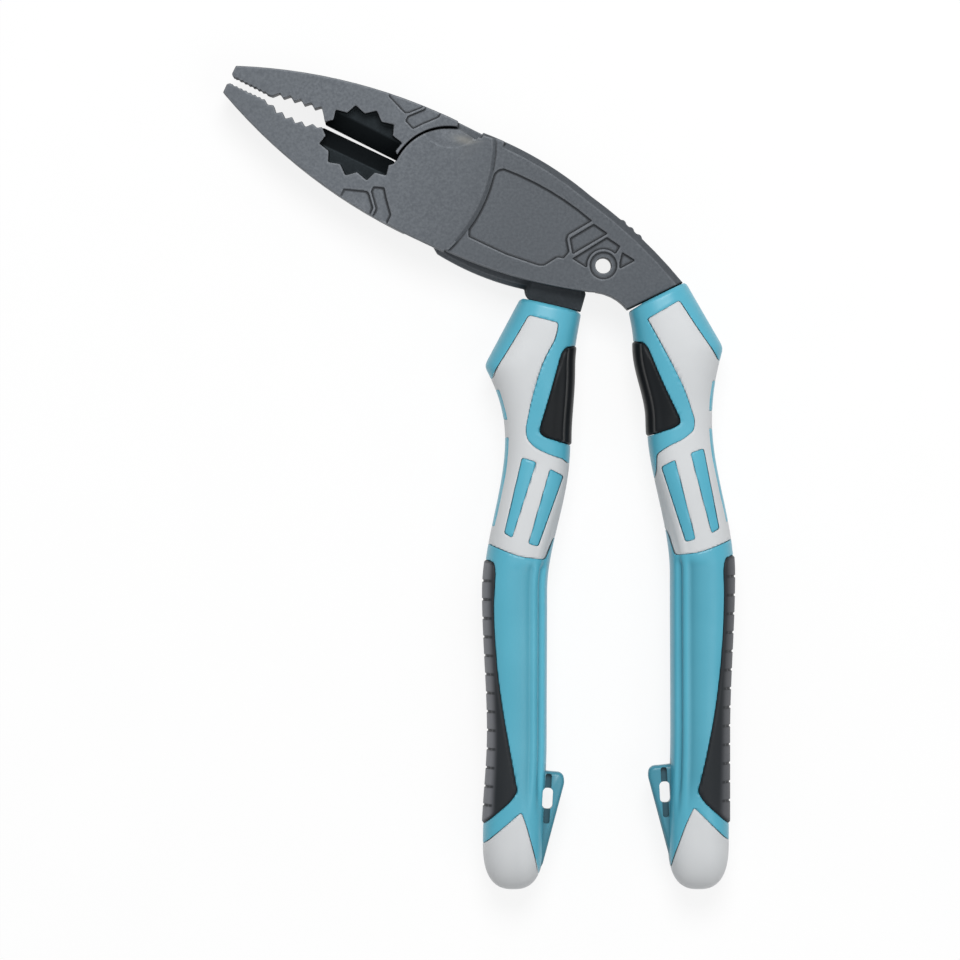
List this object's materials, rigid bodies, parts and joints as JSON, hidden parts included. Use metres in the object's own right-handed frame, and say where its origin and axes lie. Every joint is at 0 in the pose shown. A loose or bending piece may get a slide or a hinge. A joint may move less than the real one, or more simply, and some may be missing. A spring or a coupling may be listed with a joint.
{
  "type": "combination pliers",
  "caption": "Combination pliers with an angled forged head, serrated jaws, toothed cutter recess and curved multi-material grips with tether loops.",
  "frame": {"origin": "on the pivot axis, in the flat back face of the lap joint", "axes": "+X right and +Y up as the tool is seen from the front, +Z out of the front face along the pivot axis; the tool lies flat on its back"},
  "size_m": [0.1126, 0.181, 0.0178],
  "materials": {
    "forged_steel": "dark phosphated, matt",
    "rivet_steel": "dark phosphated, matt",
    "turquoise_plastic": "satin",
    "light_grey_rubber": "soft, matt",
    "black_rubber": "soft, matt",
    "dark_grey_rubber": "soft, matt",
    "light_grey_plastic": "satin"
  },
  "bodies": {
    "rear_half": {"rear_lever": "forged_steel", "left_sleeve": "turquoise_plastic", "left_soft_shell": "light_grey_rubber", "left_finger_pad": "black_rubber", "left_palm_pad": "dark_grey_rubber", "left_end_cap": "light_grey_plastic"},
    "front_half": {"front_lever": "forged_steel", "pivot_rivet": "rivet_steel", "right_sleeve": "turquoise_plastic", "right_soft_shell": "light_grey_rubber", "right_finger_pad": "black_rubber", "right_palm_pad": "dark_grey_rubber", "right_end_cap": "light_grey_plastic"}
  },
  "joints": [
    {"name": "pivot", "type": "hinge", "parent": "rear_half", "child": "front_half", "pos_m": [0, 0, 0.0055], "axis": [0, 0, 1], "range_deg": [-1.4, 24]}
  ]
}
